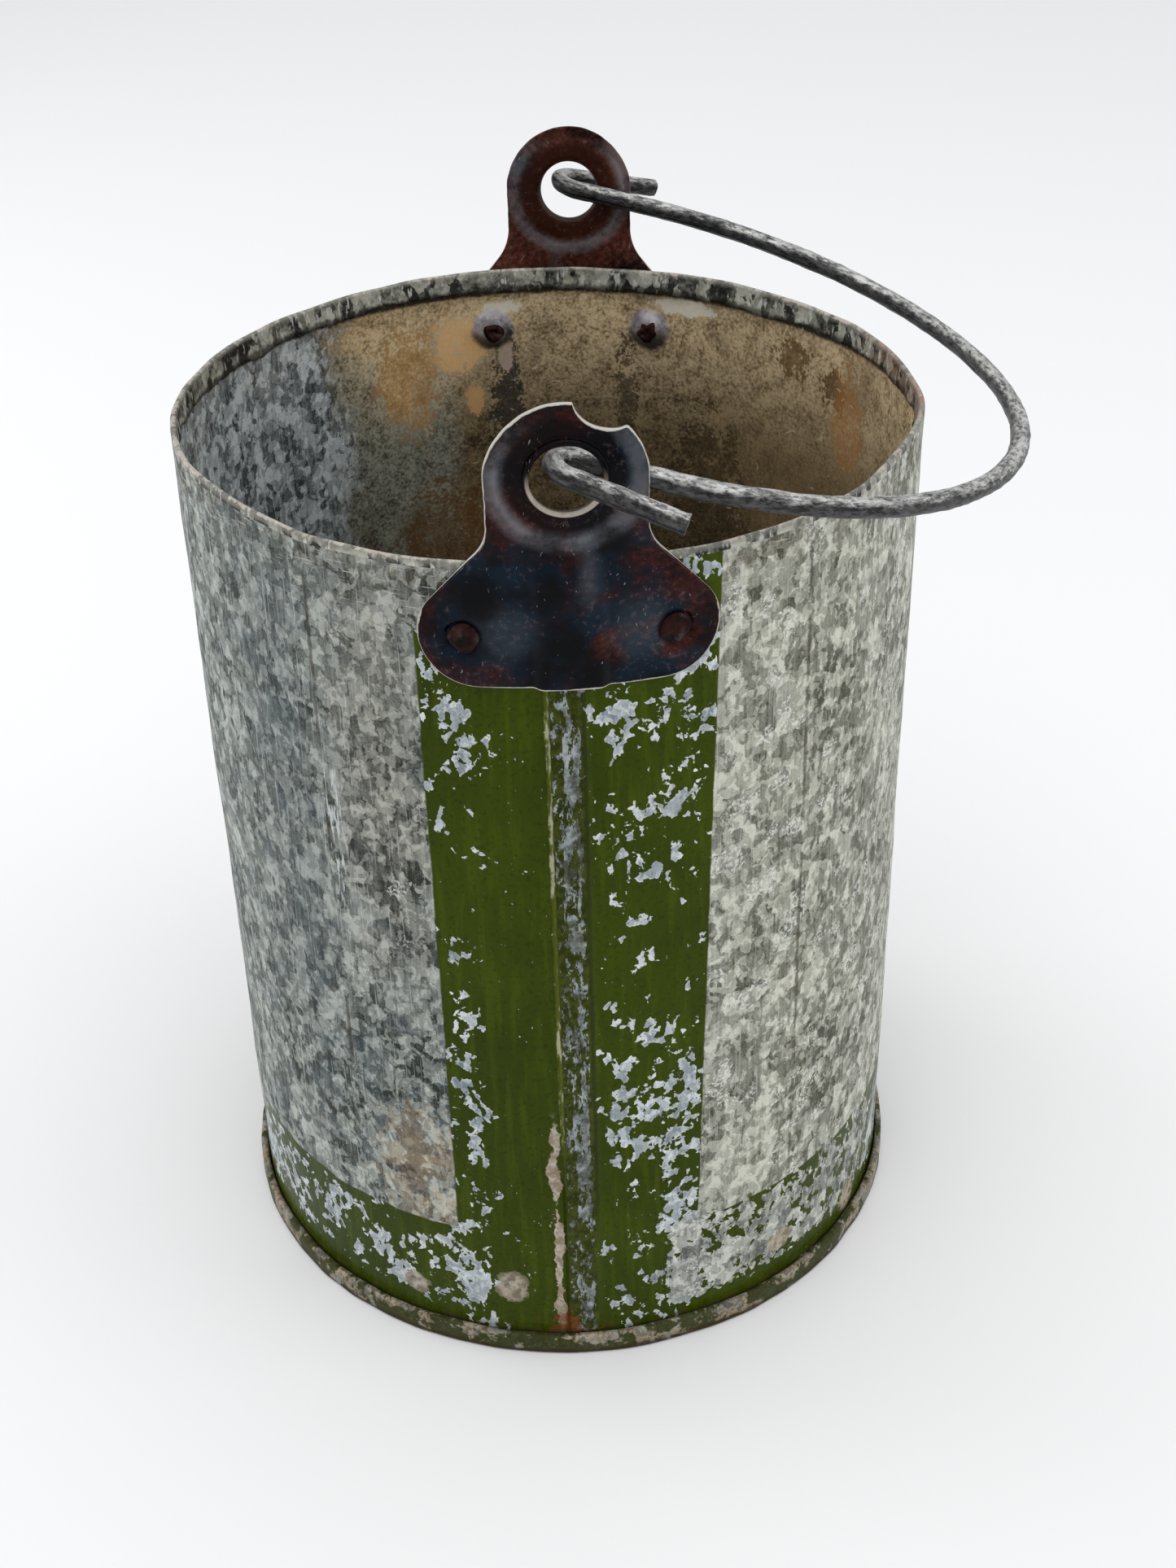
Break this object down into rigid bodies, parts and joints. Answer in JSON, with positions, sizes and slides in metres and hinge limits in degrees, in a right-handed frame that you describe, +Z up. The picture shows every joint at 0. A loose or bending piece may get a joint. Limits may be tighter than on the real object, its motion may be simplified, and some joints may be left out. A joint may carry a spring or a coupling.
{
  "type": "milk pail",
  "caption": "Straight-sided galvanised sheet-steel pail with a double-seamed foot, riveted ears and a hinged wire bail.",
  "frame": {"origin": "centre of the foot's underside, on the ground", "axes": "+Z up along the body's axis, -Y towards the lock seam and the notched ear, +X the side the bail leans to"},
  "size_m": [0.2269, 0.2348, 0.2943],
  "materials": {
    "galvanised_painted": "weathered galvanised steel with worn olive-green gloss paint bands",
    "galvanised_foot": "worn galvanised steel with remains of olive-green paint",
    "ear_steel": "dark brown oxidised steel with worn bright edges",
    "rivet_steel": "dark oxidised steel",
    "bail_wire": "pitted dark grey steel wire"
  },
  "bodies": {
    "pail": {"body_shell": "galvanised_painted", "bottom_pan": "galvanised_foot", "front_ear": "ear_steel", "rear_ear": "ear_steel", "front_rivet_left": "rivet_steel", "front_rivet_right": "rivet_steel", "rear_rivet_left": "rivet_steel", "rear_rivet_right": "rivet_steel"},
    "bail": {"bail": "bail_wire"}
  },
  "joints": [
    {"name": "bail_swing", "type": "hinge", "parent": "pail", "child": "bail", "pos_m": [0.00355, 0, 0.2791], "axis": [0, -1, 0], "range_deg": [-13, 226]}
  ]
}
